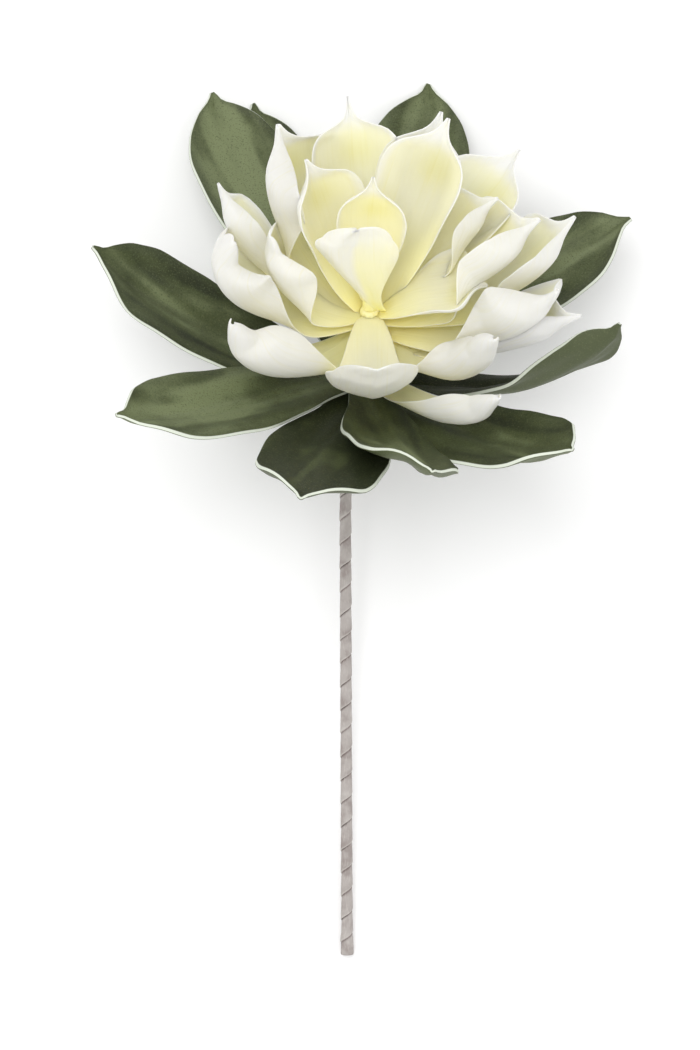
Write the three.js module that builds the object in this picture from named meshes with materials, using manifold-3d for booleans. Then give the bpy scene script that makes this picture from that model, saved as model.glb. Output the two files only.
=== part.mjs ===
import * as THREE from 'three';
import Module from 'manifold-3d';
import { mergeVertices } from 'three/addons/utils/BufferGeometryUtils.js';

// Sizes are millimetres and degrees. The flower lies on the ground with its stem along -Y.

// Foam sheet that petals and leaves are cut from
const LEAF_FOAM = 2.0;
const PETAL_FOAM = 1.4;
const TIP_SHARE = 0.7;
const STATIONS = [0, 0.14, 0.28, 0.42, 0.56, 0.69, 0.79, 0.86, 0.92, 1];
const COLUMNS = 6;
const SMALLEST_EDGE = 0.04;

// Half width along a blade, as a share of its widest half width
const PETAL_SHAPE = [[0, 0.42], [0.15, 0.44], [0.3, 0.58], [0.45, 0.8], [0.6, 0.96], [0.7, 1],
  [0.77, 0.95], [0.83, 0.78], [0.875, 0.5], [0.91, 0.28], [0.95, 0.15], [1, 0.05]];
const BUD_SHAPE = [[0, 0.2], [0.15, 0.38], [0.3, 0.56], [0.45, 0.8], [0.6, 0.96], [0.7, 1],
  [0.77, 0.95], [0.83, 0.78], [0.875, 0.5], [0.91, 0.28], [0.95, 0.15], [1, 0.05]];
const LEAF_SHAPE = [[0, 0.36], [0.15, 0.48], [0.3, 0.74], [0.45, 0.93], [0.6, 1], [0.75, 0.96],
  [0.86, 0.74], [0.93, 0.42], [0.97, 0.16], [1, 0.05]];

// Head: where the leaves meet, and how the flower axis stands over the ground
const HEAD = new THREE.Vector3(0.2, 81.2, 60);
const AXIS_RISE = 48;
const AXIS_LEAN = 3;

// Stem: steel wire in a wound strip of tape
const FOOT = new THREE.Vector3(-9.7, -248.8, 3.0);
const STEM_TOP = new THREE.Vector3(-10.6, 4.2, 34);
const NECK_BELOW_HEAD = 9;
const WIRE_RADIUS = 1.5;
const WIRE_END_HEIGHT = 47;
const BORE_RADIUS = 2.1;
const TAPE_RADIUS = 3.0;
const TAPE_STEP = 0.45;
const TAPE_PITCH = 13.5;
const TAPE_SIDES = 10;
const STEM_RINGS = 44;
const FLARE_LENGTH = 16;
const FLARE_RADIUS = 4.5;

// Hubs that the blades of one layer meet in: bottom and top height on the axis, and radius
const LOWER_LEAF_HUB = [-5.2, -1.2, 12];
const UPPER_LEAF_HUB = [0, 4, 12];
const LOWER_PETAL_HUB = [4.6, 40, 8.5];
const UPPER_PETAL_HUB = [40.5, 49.5, 8.5];
const BUD_HUB = [50, 56, 7];
const PETAL_ROOT = 6.5;
const BUD_ROOT = 4.5;
const LEAF_ROOT = 8;

// A row is one blade. az: direction round the axis, h: height of the root on the axis, long, wide,
// rise: slope of the midrib at the root, one third, two thirds and tip, cup: turn-up of the sides,
// left and right: more turn-up of one side, from share start of the length to share full,
// bend: sideways bend, twist, keel: fold of the midrib, pinch: fold of the tip.
const BUD = [
  { az: 98, h: 53, long: 78, wide: 48, rise: [62, 70, 78, 72], cup: 70, bend: -14 },
  { az: 222, h: 52.5, long: 66, wide: 52, rise: [50, 70, 95, 150], cup: 70, twist: 42, pinch: 10 },
];
const UPPER_PETALS = [
  { az: 140, h: 47, long: 90, wide: 56, rise: [50, 58, 64, 70], cup: 50 },
  { az: 102, h: 46, long: 111, wide: 60, rise: [40, 47, 54, 52], cup: 60 },
  { az: 138, h: 45, long: 122, wide: 90, rise: [14, 37, 70, 92], cup: 30,
    left: 95, start: 0.2, full: 0.6 },
  { az: 185, h: 45, long: 86, wide: 64, rise: [8, 34, 64, 100], cup: 20,
    left: 90, start: 0.3, full: 0.7 },
  { az: 355, h: 47.8, long: 62, wide: 56, rise: [42, 30, 20, 10], cup: 20, right: 20 },
  { az: 57, h: 46, long: 110, wide: 56, rise: [42, 54, 60, 60], cup: 40, right: 30, twist: 14 },
  { az: 34, h: 45, long: 90, wide: 58, rise: [22, 34, 46, 52], cup: 30,
    right: 105, start: 0.45, full: 0.7, bend: -24 },
  { az: 158, h: 43, long: 114, wide: 60, rise: [4, 18, 50, 80], cup: 20,
    left: 130, start: 0.2, full: 0.55 },
  { az: 187, h: 42, long: 118, wide: 74, rise: [4, 16, 54, 140], cup: 30,
    left: 110, start: 0.2, full: 0.6 },
  { az: 12, h: 43, long: 104, wide: 82, rise: [14, 28, 42, 54], cup: 15,
    right: 110, start: 0.3, full: 0.6 },
  { az: 12, h: 42, long: 128, wide: 64, rise: [2, 12, 42, 72], cup: 20,
    right: 80, start: 0.3, full: 0.6 },
  { az: 43, h: 43, long: 119, wide: 60, rise: [18, 26, 34, 42], cup: 50 },
  { az: 64, h: 43, long: 113, wide: 52, rise: [42, 48, 54, 58], cup: 30, right: 40, twist: 24 },
];
const LOWER_PETALS = [
  { az: 227, h: 37, long: 104, wide: 74, rise: [0, 2, 40, 84], cup: 20,
    left: 145, start: 0, full: 0.4, bend: -14 },
  { az: 272, h: 38.5, long: 87, wide: 70, rise: [2, -8, 60, 100], cup: 60, keel: 12 },
  { az: 322, h: 36, long: 94, wide: 64, rise: [2, 2, 40, 80], cup: 45,
    right: 130, start: 0.15, full: 0.5 },
  { az: 307, h: 8, long: 116, wide: 54, rise: [10, 12, 44, 90], cup: 30, right: 80 },
  { az: 346, h: 36, long: 118, wide: 86, rise: [4, 10, 42, 80], cup: 15,
    right: 130, start: 0.25, full: 0.6, twist: -20 },
  { az: 350, h: 33, long: 116, wide: 60, rise: [6, 10, 28, 46], cup: 20,
    right: 110, start: 0.3, full: 0.7 },
];
const UPPER_LEAVES = [
  { az: 125, h: 2, long: 182, wide: 62, rise: [30, 22, 18, 16], cup: 15, bend: -10 },
  { az: 77, h: 2, long: 174, wide: 62, rise: [24, 22, 22, 26], cup: 15, bend: 2 },
  { az: 27, h: 2, long: 164, wide: 58, rise: [14, 18, 22, 18], cup: 15 },
  { az: 277, h: 2, long: 158, wide: 56, rise: [12, 20, 36, 34], cup: 15, bend: 16, twist: -34 },
  { az: 217, h: 2, long: 165, wide: 54, rise: [18, 16, 20, 26], cup: 15 },
];
const LOWER_LEAVES = [
  { az: 114, h: -3.2, long: 174, wide: 50, rise: [22, 20, 18, 20], cup: 15 },
  { az: 350, h: -3.2, long: 152, wide: 46, rise: [2, 8, 40, 58], cup: 15, bend: 10, twist: -78 },
  { az: 314, h: -3.2, long: 160, wide: 56, rise: [10, 14, 30, 42], cup: 15 },
  { az: 257, h: -3.2, long: 172, wide: 67, rise: [8, 24, 29, 28], cup: 15 },
  { az: 173, h: -3.2, long: 164, wide: 60, rise: [8, 18, 34, 40], cup: 15 },
];

const PETAL_WHITE = new THREE.MeshStandardMaterial({ color: 0xf1eed9, roughness: 0.62, metalness: 0 });
const LEAF_GREEN = new THREE.MeshStandardMaterial({ color: 0x56643f, roughness: 0.7, metalness: 0 });
const TAPE_TAUPE = new THREE.MeshStandardMaterial({ color: 0xa99c92, roughness: 0.75, metalness: 0 });
const WIRE_STEEL = new THREE.MeshStandardMaterial({ color: 0x8b8e92, roughness: 0.4, metalness: 1 });

const wasm = await Module();
wasm.setup();

const rad = THREE.MathUtils.degToRad;

function smooth(from, to, x) {
  const q = Math.min(Math.max((x - from) / (to - from), 0), 1);
  return q * q * (3 - 2 * q);
}

// Smooth curve through [x, y] pairs that never overshoots them.
function curve(pairs, x) {
  const last = pairs.length - 1;
  const slope = (i) => (pairs[i + 1][1] - pairs[i][1]) / (pairs[i + 1][0] - pairs[i][0]);
  const tangent = (i) => {
    if (i === 0) return slope(0);
    if (i === last) return slope(last - 1);
    const a = slope(i - 1);
    const b = slope(i);
    return a * b <= 0 ? 0 : (2 * a * b) / (a + b);
  };
  let i = 0;
  while (i < last - 1 && x > pairs[i + 1][0]) i += 1;
  const step = pairs[i + 1][0] - pairs[i][0];
  const q = (x - pairs[i][0]) / step;
  return (2 * q ** 3 - 3 * q ** 2 + 1) * pairs[i][1] + (q ** 3 - 2 * q ** 2 + q) * step * tangent(i)
    + (3 * q ** 2 - 2 * q ** 3) * pairs[i + 1][1] + (q ** 3 - q ** 2) * step * tangent(i + 1);
}

// Midrib of a blade at share s of its length: point, and directions along, across and up.
function midrib(row, root, s) {
  const rise = row.rise.map((angle, i) => [i / 3, angle]);
  const heading = (u) => rad(row.az + (row.bend ?? 0) * u * u);
  const along = (u) => {
    const slope = rad(curve(rise, u));
    return new THREE.Vector3(Math.cos(slope) * Math.cos(heading(u)), Math.cos(slope) * Math.sin(heading(u)),
      Math.sin(slope));
  };
  const point = new THREE.Vector3(root * Math.cos(rad(row.az)), root * Math.sin(rad(row.az)), row.h);
  const steps = 40;
  for (let k = 0; k < steps; k += 1) {
    point.addScaledVector(along(s * (k + 0.5) / steps), row.long * s / steps);
  }
  const t = along(s);
  const side = new THREE.Vector3(-Math.sin(heading(s)), Math.cos(heading(s)), 0);
  const up = t.clone().cross(side);
  const turn = rad((row.twist ?? 0) * s);
  side.applyAxisAngle(t, turn);
  up.applyAxisAngle(t, turn);
  return { point, side, up };
}

// Rows of points over the middle of a blade's foam, from the root to the pinched tip.
function bladeGrid(row, shape, root) {
  return STATIONS.map((s) => {
    const { point, side, up } = midrib(row, root, s);
    const half = (row.wide / 2) * curve(shape, s);
    const fold = rad((row.keel ?? 0) * smooth(0.2, 0.8, s) + (row.pinch ?? 25) * smooth(0.8, 1, s));
    return Array.from({ length: COLUMNS + 1 }, (_, c) => {
      const t = (2 * c) / COLUMNS - 1;
      const flap = (t > 0 ? row.left ?? 0 : row.right ?? 0) * smooth(row.start ?? 0, row.full ?? 0.6, s);
      const cup = rad(row.cup * smooth(0, 0.6, s) + flap);
      const steps = 12;
      const p = point.clone();
      for (let k = 0; k < steps; k += 1) {
        const turn = fold + cup * Math.abs(t) * (k + 0.5) / steps;
        p.addScaledVector(side, half * t * Math.cos(turn) / steps);
        p.addScaledVector(up, half * Math.abs(t) * Math.sin(turn) / steps);
      }
      return p;
    });
  });
}

function solidFrom(points, triangles) {
  return new wasm.Manifold(new wasm.Mesh({
    numProp: 3,
    vertProperties: new Float32Array(points.flatMap((p) => [p.x, p.y, p.z])),
    triVerts: new Uint32Array(triangles),
  }));
}

// Closed sheet of foam over a grid of points, with both faces split alike.
function blade(row, shape, root, foam) {
  const grid = bladeGrid(row, shape, root);
  const rows = grid.length;
  const columns = COLUMNS + 1;
  const normal = (i, j) => {
    const along = grid[Math.min(i + 1, rows - 1)][j].clone().sub(grid[Math.max(i - 1, 0)][j]);
    const across = grid[i][Math.min(j + 1, columns - 1)].clone().sub(grid[i][Math.max(j - 1, 0)]);
    return along.cross(across).normalize();
  };
  const points = [];
  for (const face of [0.5, -0.5]) {
    for (let i = 0; i < rows; i += 1) {
      const thick = i < rows - 2 ? foam : foam * TIP_SHARE;
      for (let j = 0; j < columns; j += 1) {
        points.push(grid[i][j].clone().addScaledVector(normal(i, j), face * thick));
      }
    }
  }
  const top = (i, j) => i * columns + j;
  const under = (i, j) => (rows + i) * columns + j;
  const triangles = [];
  const quad = (a, b, c, d) => triangles.push(a, b, c, a, c, d);
  for (let i = 0; i < rows - 1; i += 1) {
    for (let j = 0; j < COLUMNS; j += 1) {
      quad(top(i, j), top(i + 1, j), top(i + 1, j + 1), top(i, j + 1));
      triangles.push(under(i, j), under(i + 1, j + 1), under(i + 1, j));
      triangles.push(under(i, j), under(i, j + 1), under(i + 1, j + 1));
    }
    quad(top(i, 0), under(i, 0), under(i + 1, 0), top(i + 1, 0));
    quad(top(i + 1, COLUMNS), under(i + 1, COLUMNS), under(i, COLUMNS), top(i, COLUMNS));
  }
  for (let j = 0; j < COLUMNS; j += 1) {
    quad(top(0, j + 1), under(0, j + 1), under(0, j), top(0, j));
    quad(top(rows - 1, j), under(rows - 1, j), under(rows - 1, j + 1), top(rows - 1, j + 1));
  }
  return solidFrom(points, triangles);
}

// Upright rod along Z between two heights.
function rod(radius, from, to, sides, rings) {
  const geometry = new THREE.CylinderGeometry(radius, radius, to - from, sides, rings);
  geometry.rotateX(Math.PI / 2).translate(0, 0, (from + to) / 2);
  geometry.deleteAttribute('normal');
  geometry.deleteAttribute('uv');
  const merged = mergeVertices(geometry, 1e-4);
  return new wasm.Manifold(new wasm.Mesh({
    numProp: 3,
    vertProperties: new Float32Array(merged.attributes.position.array),
    triVerts: new Uint32Array(merged.index.array),
  }));
}

// One layer: its blades grow out of a hub that is bored for the wire.
function layer(rows, shape, root, foam, [from, to, radius]) {
  const blades = rows.map((row) => blade(row, shape, root, foam));
  const hub = rod(radius, from, to, 20, 1);
  const bore = rod(BORE_RADIUS, from - 30, to + 30, TAPE_SIDES, 1);
  const bodies = wasm.Manifold.union([hub, ...blades]).subtract(bore).simplify(SMALLEST_EDGE).decompose();
  bodies.sort((a, b) => b.volume() - a.volume());
  return bodies[0];
}

// Strip of tape wound up a straight stem: each turn laps over the one above with a small step.
function woundTape(length, radiusAt) {
  const perTurn = TAPE_SIDES;
  const first = -perTurn;
  const last = Math.ceil((length / TAPE_PITCH + 1) * perTurn);
  const points = [];
  const place = (k, rise, r) => {
    const height = TAPE_PITCH * (k / perTurn + rise);
    const angle = (2 * Math.PI * k) / perTurn;
    const radius = radiusAt(height) + r;
    points.push(new THREE.Vector3(radius * Math.cos(angle), radius * Math.sin(angle), height));
  };
  for (let k = first; k <= last; k += 1) {
    place(k, 0, TAPE_STEP);
    place(k, 0.5, TAPE_STEP / 2);
    place(k, 1, 0);
  }
  const id = (k, line) => (k - first) * 3 + line;
  const triangles = [];
  const quad = (a, b, c, d) => triangles.push(a, b, c, a, c, d);
  for (let k = first; k < last; k += 1) {
    quad(id(k, 0), id(k + 1, 0), id(k + 1, 1), id(k, 1));
    quad(id(k, 1), id(k + 1, 1), id(k + 1, 2), id(k, 2));
    if (k + perTurn < last) quad(id(k, 2), id(k + 1, 2), id(k + perTurn + 1, 0), id(k + perTurn, 0));
  }
  const close = (loop, centre) => {
    points.push(centre);
    loop.forEach((from, i) => triangles.push(loop[(i + 1) % loop.length], from, points.length - 1));
  };
  const lowLoop = [];
  for (let k = first; k <= first + perTurn; k += 1) lowLoop.push(id(k, 0));
  lowLoop.push(id(first, 2), id(first, 1));
  close(lowLoop, new THREE.Vector3(0, 0, TAPE_PITCH * first / perTurn - 5));
  const highLoop = [];
  for (let k = last; k >= last - perTurn; k -= 1) highLoop.push(id(k, 2));
  highLoop.push(id(last, 0), id(last, 1));
  close(highLoop, new THREE.Vector3(0, 0, TAPE_PITCH * (last / perTurn + 1) + 5));
  return solidFrom(points, triangles);
}

// Directions of the flower: up its axis, across it to the right, and towards its back.
const lean = rad(AXIS_LEAN);
const rise = rad(AXIS_RISE);
const flowerUp = new THREE.Vector3(Math.sin(lean), Math.cos(rise) * Math.cos(lean),
  Math.sin(rise) * Math.cos(lean));
const flowerRight = new THREE.Vector3(Math.cos(lean), -Math.cos(rise) * Math.sin(lean),
  -Math.sin(rise) * Math.sin(lean));
const flowerBack = flowerUp.clone().cross(flowerRight);

// Line of the stem: straight from the foot, bent at the neck, then up the flower axis.
const neck = HEAD.clone().addScaledVector(flowerUp, -NECK_BELOW_HEAD);
const stemway = STEM_TOP.clone().sub(FOOT).normalize();
const stemLine = new THREE.CurvePath();
stemLine.add(new THREE.LineCurve3(FOOT, STEM_TOP));
stemLine.add(new THREE.CubicBezierCurve3(STEM_TOP, STEM_TOP.clone().addScaledVector(stemway, 30),
  neck.clone().addScaledVector(flowerUp, -22), neck));
stemLine.add(new THREE.LineCurve3(neck, HEAD.clone().addScaledVector(flowerUp, WIRE_END_HEIGHT)));
const lineLength = stemLine.getLength();
const headAt = lineLength - WIRE_END_HEIGHT;

// Bends a straight upright solid along the line of the stem.
function alongStem(solid) {
  return solid.warp((v) => {
    const u = Math.min(Math.max(v[2] / lineLength, 0), 1);
    const point = stemLine.getPointAt(u);
    const t = stemLine.getTangentAt(u);
    const x = new THREE.Vector3(1, 0, 0).addScaledVector(t, -t.x).normalize();
    const y = t.clone().cross(x);
    point.addScaledVector(x, v[0]).addScaledVector(y, v[1]);
    v[0] = point.x;
    v[1] = point.y;
    v[2] = point.z;
  });
}

// Flattens a leaf tip where it touches the ground.
function onGround(solid) {
  return solid.trimByPlane([flowerRight.z, flowerBack.z, flowerUp.z], -HEAD.z);
}

// Tape flares out under the lower leaves and is cut level there and at the foot.
const tapeEnd = headAt + LOWER_LEAF_HUB[0] - 0.5;
const tapeRadius = (height) => TAPE_RADIUS + FLARE_RADIUS * smooth(tapeEnd - FLARE_LENGTH, tapeEnd, height);
const tape = alongStem(
  woundTape(tapeEnd, tapeRadius)
    .subtract(rod(BORE_RADIUS, -30, tapeEnd + 40, TAPE_SIDES, STEM_RINGS))
    .trimByPlane([0, 0, 1], 0.01)
    .trimByPlane([0, 0, -1], -tapeEnd),
).trimByPlane([0, 0, 1], 0);
const wire = alongStem(rod(WIRE_RADIUS, 0.6, lineLength - 0.01, TAPE_SIDES, STEM_RINGS));

function meshOf(name, solid, material) {
  const mesh = solid.getMesh();
  const geometry = new THREE.BufferGeometry();
  geometry.setAttribute('position', new THREE.BufferAttribute(new Float32Array(mesh.vertProperties), 3));
  geometry.setIndex(new THREE.BufferAttribute(new Uint32Array(mesh.triVerts), 1));
  geometry.computeVertexNormals();
  const part = new THREE.Mesh(geometry, material);
  part.name = name;
  return part;
}

const head = new THREE.Group();
head.position.copy(HEAD);
head.quaternion.setFromRotationMatrix(new THREE.Matrix4().makeBasis(flowerRight, flowerBack, flowerUp));
const leafLayer = (rows, hub) => onGround(layer(rows, LEAF_SHAPE, LEAF_ROOT, LEAF_FOAM, hub));
const petalLayer = (rows, hub) => layer(rows, PETAL_SHAPE, PETAL_ROOT, PETAL_FOAM, hub);
head.add(
  meshOf('leaf_star_lower', leafLayer(LOWER_LEAVES, LOWER_LEAF_HUB), LEAF_GREEN),
  meshOf('leaf_star_upper', leafLayer(UPPER_LEAVES, UPPER_LEAF_HUB), LEAF_GREEN),
  meshOf('petals_lower', petalLayer(LOWER_PETALS, LOWER_PETAL_HUB), PETAL_WHITE),
  meshOf('petals_upper', petalLayer(UPPER_PETALS, UPPER_PETAL_HUB), PETAL_WHITE),
  meshOf('petals_bud', layer(BUD, BUD_SHAPE, BUD_ROOT, PETAL_FOAM, BUD_HUB), PETAL_WHITE),
);

const group = new THREE.Group();
group.add(head, meshOf('stem_tape', tape, TAPE_TAUPE), meshOf('stem_wire', wire, WIRE_STEEL));

export default group;
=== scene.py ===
import math
import random

import bmesh
import bpy
import numpy as np
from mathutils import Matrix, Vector


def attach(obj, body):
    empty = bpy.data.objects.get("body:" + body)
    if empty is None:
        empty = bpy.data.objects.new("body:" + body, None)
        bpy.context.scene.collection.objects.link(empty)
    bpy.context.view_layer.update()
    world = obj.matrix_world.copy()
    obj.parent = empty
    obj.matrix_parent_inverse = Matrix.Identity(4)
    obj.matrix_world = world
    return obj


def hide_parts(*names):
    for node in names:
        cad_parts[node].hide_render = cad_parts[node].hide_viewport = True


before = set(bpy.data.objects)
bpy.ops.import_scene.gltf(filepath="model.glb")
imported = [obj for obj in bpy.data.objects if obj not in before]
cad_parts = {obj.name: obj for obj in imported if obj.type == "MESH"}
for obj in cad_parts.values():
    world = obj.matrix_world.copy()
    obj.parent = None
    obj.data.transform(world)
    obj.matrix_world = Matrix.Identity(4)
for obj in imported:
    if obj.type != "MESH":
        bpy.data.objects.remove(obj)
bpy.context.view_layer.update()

# The flower's sizes are millimetres and degrees, as in the CAD, and turn into metres with MM.
# The floor, the lights, the camera and the distances in the materials are metres.
MM = 0.001

# Foam sheet: thickness, rounding of the rims, and how deep a petal is pressed inside its margin
LEAF_FOAM = 2.5
PETAL_FOAM = 1.2
RIM_ROUND = 0.6
LEAF_RIM_SHARE = 0.7
PRESS = 1.5

# Shares of the thickness that are lost at the tip, and along the rims of a petal
TIP_THINNING = 0.3
RIM_THINNING = 0.35

# Soft white margin of a petal: its width near the root, and how much wider it is near the tip
MARGIN_WIDTH = 0.3
MARGIN_GAIN = 4.2

# Heights of the waves along the rims, and of the folds, grooves and dents in the faces
LEAF_RIM_WAVE = 1.1
PETAL_RIM_WAVE = 0.7
VEIN_DEPTH = 0.9
VEIN_WIDTH = 1.6
LEAF_FOLD = 1.7
LEAF_RIPPLE = 0.5
LEAF_DENT = 0.25
PETAL_FOLD = 0.35
PETAL_STREAK = 0.15

# Tip of a blade: how a leaf's curls up and to a side, and how a pointed one folds, in degrees
CURL_UP = 2.2
CURL_ASIDE = 3
TIP_PINCH = 25

# Half width along a blade, as a share of its widest half width
PETAL_SHAPE = [(0, 0.2), (0.15, 0.4), (0.3, 0.58), (0.45, 0.8), (0.6, 0.96), (0.7, 1),
               (0.77, 0.95), (0.83, 0.78), (0.875, 0.5), (0.91, 0.28), (0.95, 0.15), (1, 0.05)]
BUD_SHAPE = [(0, 0.2), (0.15, 0.38), (0.3, 0.56), (0.45, 0.8), (0.6, 0.96), (0.7, 1),
             (0.77, 0.95), (0.83, 0.78), (0.875, 0.5), (0.91, 0.28), (0.95, 0.15), (1, 0.05)]
LEAF_SHAPE = [(0, 0.36), (0.15, 0.48), (0.3, 0.74), (0.45, 0.93), (0.6, 1), (0.75, 0.96),
              (0.86, 0.74), (0.93, 0.42), (0.97, 0.16), (1, 0.05)]

# Head: where the flower's axis meets the upper leaves, and how the axis stands over the ground
HEAD = np.array([0.2, 81.2, 60])
AXIS_RISE = 48
AXIS_LEAN = 3

# Line of the stem: straight from the foot to the top, then a bend up to the neck and the core.
# The bend's reach is the length of its handle at the stem's top and at the neck.
FOOT = np.array([-9.7, -248.8, 3.0])
STEM_TOP = np.array([-10.6, 4.2, 34])
NECK_BELOW_HEAD = 9
STEM_BEND_REACH = 30
NECK_BEND_REACH = 22
WIRE_END_HEIGHT = 47

# Tape: a strip wound round the wire, wider where it flares at the neck and at the cut foot
TAPE_RADIUS = 3.0
TAPE_STEP = 0.45
TAPE_PITCH = 13.5
TAPE_CREASE = 0.16
FLARE_LENGTH = 16
FLARE_RADIUS = 4.5
FOOT_FLARE_RADIUS = 0.35
FOOT_FLARE_TOP = 13
FOOT_FLARE_FULL = 10
WIRE_HOLE_RADIUS = 1.62
WIRE_HOLE_DEPTH = 5
HUB_GAP = 0.5

# Hubs and cores on the flower's axis: low end, high end and radius
LOWER_LEAF_HUB = (-5.2, -1.2, 12)
UPPER_LEAF_HUB = (0, 4, 12)
LOWER_PETAL_HUB = (4.6, 40, 8.5)
UPPER_PETAL_HUB = (40.5, 49.5, 8.5)
BUD_HUB = (50, 56, 7)

# Core: how far it stays inside its radius, the share of the radius that is lost at its ends, the
# depth of its folds and dents, and its place on the way from the root's yellow to the tip's white
CORE_INSET = 0.5
CORE_END_SHARE = 0.1
CORE_FOLD = 0.35
CORE_DENT = 0.15
CORE_RIPENESS = 0.16

# Distance of the roots from the axis, and how far a root is tucked in further
PETAL_ROOT = 6.5
BUD_ROOT = 4.5
LEAF_ROOT = 8
TUCK = 3

# Each row is one blade, which is a petal or a leaf. Left and right are as seen from the axis.
#   az, h              direction round the axis, 0 to the flower's right and 90 to its back, and
#                      height of the root on the axis
#   long, wide         length of the midrib, and greatest width of the flat sheet
#   rise               slope of the midrib at the root, one third, two thirds and the tip
#   bend               how far the midrib's heading has turned at the tip
#   turn, twist        roll about the midrib, and roll that is gained up to the tip
#   cup, keel          arc of each half of the cross-section, and fold along the midrib
#   left, right        how much more of an arc that half has, where it is folded over
#   start, full        shares of the length where that fold starts, and where it is full
#   far                width of the half that isn't folded, or of the right one if none is, as a share
#   base, taper, nib   share of the width at the root, and shares lost near the root and at the tip
#   blunt              share of the width that a round tip has, where the tip isn't pointed
#   hump, slide        how far the root is raised, and moved to the flower's right
#   lobe               how far the right half bulges out
#   pale               how much paler the colour is all over, set on some petals as painted light
#   tint               how far the left half keeps the root's colour, and the petal isn't pressed
#   tone               lightness of a leaf, painted light and shade for how the light falls on it
BUD = [
    dict(az=98, h=53, long=71, wide=48, rise=(62, 70, 78, 72), cup=70, bend=-14, pale=0.3),
    dict(az=236, h=52.5, long=69, wide=42, rise=(46, 82, 93, 80), cup=24, bend=6, twist=13, turn=18,
         tint=0.65, lobe=2.2, blunt=0.85, far=1.25, slide=9, taper=0.5),
]
UPPER_PETALS = [
    dict(az=140, h=47, long=90, wide=56, rise=(50, 58, 64, 70), cup=50),
    dict(az=102, h=46, long=113, wide=60, rise=(40, 47, 54, 52), cup=60, nib=0.45),
    dict(az=138, h=45, long=122, wide=90, rise=(14, 37, 70, 92), cup=30, left=95, start=0.2, full=0.6),
    dict(az=185, h=45, long=86, wide=64, rise=(8, 34, 64, 100), cup=20, left=90,
         start=0.3, full=0.7, blunt=0.4),
    dict(az=355, h=47.8, long=62, wide=56, rise=(42, 30, 20, 10), cup=20, right=20),
    dict(az=57, h=46, long=110, wide=56, rise=(42, 54, 60, 60), cup=40, right=30, twist=14),
    dict(az=34, h=45, long=90, wide=58, rise=(22, 34, 46, 52), cup=30,
         right=90, start=0.42, full=0.75, bend=-24, taper=0.5),
    dict(az=158, h=43, long=114, wide=60, rise=(4, 18, 50, 80), cup=20, left=130,
         start=0.2, full=0.55, far=0.7),
    dict(az=187, h=42, long=118, wide=74, rise=(4, 16, 54, 140), cup=30, left=110,
         start=0.2, full=0.6, blunt=0.5),
    dict(az=12, h=43, long=104, wide=82, rise=(14, 28, 42, 54), cup=15, right=110, start=0.3, full=0.6),
    dict(az=12, h=42, long=128, wide=64, rise=(2, 12, 42, 72), cup=20, right=80, start=0.3, full=0.6),
    dict(az=43, h=43, long=119, wide=60, rise=(18, 26, 34, 42), cup=50),
    dict(az=64, h=43, long=113, wide=52, rise=(42, 48, 54, 58), cup=30, right=40, twist=24),
]
LOWER_PETALS = [
    dict(az=221, h=37, long=115, wide=88, rise=(-21, 12, 41, 100), cup=23, left=193,
         start=0, full=0.88, bend=-34, turn=-5, far=0.45, blunt=0.7, pale=-0.1),
    # Painted light: this petal's colour is made paler, to lighten its root where it lies in shade
    dict(az=271, h=38.5, long=87, wide=55, rise=(0, -11, 59, 81), cup=25, keel=14, bend=4, turn=2,
         blunt=0.9, hump=8, base=0.27, pale=0.25),
    dict(az=325, h=36, long=100, wide=68, rise=(-13, 1, 50, 90), cup=40, right=173,
         start=0.15, full=0.8, bend=-5, far=0.3, blunt=0.85),
    # Painted light: this petal's colour is made yellower and lighter, for its inner face that lies in
    # shade
    dict(az=305, h=8, long=117, wide=48, rise=(12, 15, 32, 81), cup=17, right=172,
         start=0, full=0.96, bend=26, turn=8, keel=9, far=0.5, blunt=0.85, pale=-0.2),
    dict(az=346, h=36, long=118, wide=86, rise=(4, 10, 42, 80), cup=15,
         right=130, start=0.25, full=0.6, twist=-20, taper=0.35),
    dict(az=350, h=31, long=117, wide=60, rise=(2, 7, 28, 46), cup=20, right=110, start=0.3, full=0.7),
]
UPPER_LEAVES = [
    dict(az=125, h=2, long=182, wide=62, rise=(30, 22, 18, 16), cup=15, bend=-10, painted_light_and_tone=0.85),
    dict(az=77, h=2, long=174, wide=62, rise=(24, 22, 22, 26), cup=15, bend=2, painted_light_and_tone=0.75),
    dict(az=27, h=2, long=164, wide=58, rise=(14, 18, 22, 18), cup=15, painted_light_and_tone=0.6),
    dict(az=277, h=2, long=158, wide=56, rise=(12, 20, 36, 34), cup=15, bend=16, twist=-34, painted_light_and_tone=0.55),
    dict(az=217, h=2, long=165, wide=54, rise=(18, 16, 20, 26), cup=15, painted_light_and_tone=0.75),
]
LOWER_LEAVES = [
    dict(az=114, h=-3.2, long=174, wide=50, rise=(22, 20, 18, 20), cup=15, painted_light_and_tone=0.7),
    dict(az=350, h=-3.2, long=152, wide=46, rise=(2, 8, 40, 58), cup=15, bend=10, twist=-78, painted_light_and_tone=-0.1),
    dict(az=314, h=-3.2, long=160, wide=56, rise=(10, 14, 30, 42), cup=15, painted_light_and_tone=0.5),
    dict(az=257, h=-3.2, long=172, wide=67, rise=(8, 24, 29, 28), cup=15, painted_light_and_tone=0.15),
    dict(az=173, h=-3.2, long=164, wide=60, rise=(8, 18, 34, 40), cup=15, painted_light_and_tone=0.5),
]


# ---------------------------------------------------------------- curves and axes

def smooth(low, high, x):
    """Smooth step from 0 at low to 1 at high, which falls with x if high is the smaller."""
    q = np.clip((np.asarray(x, float) - low) / (high - low), 0, 1)
    return q * q * (3 - 2 * q)


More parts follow.
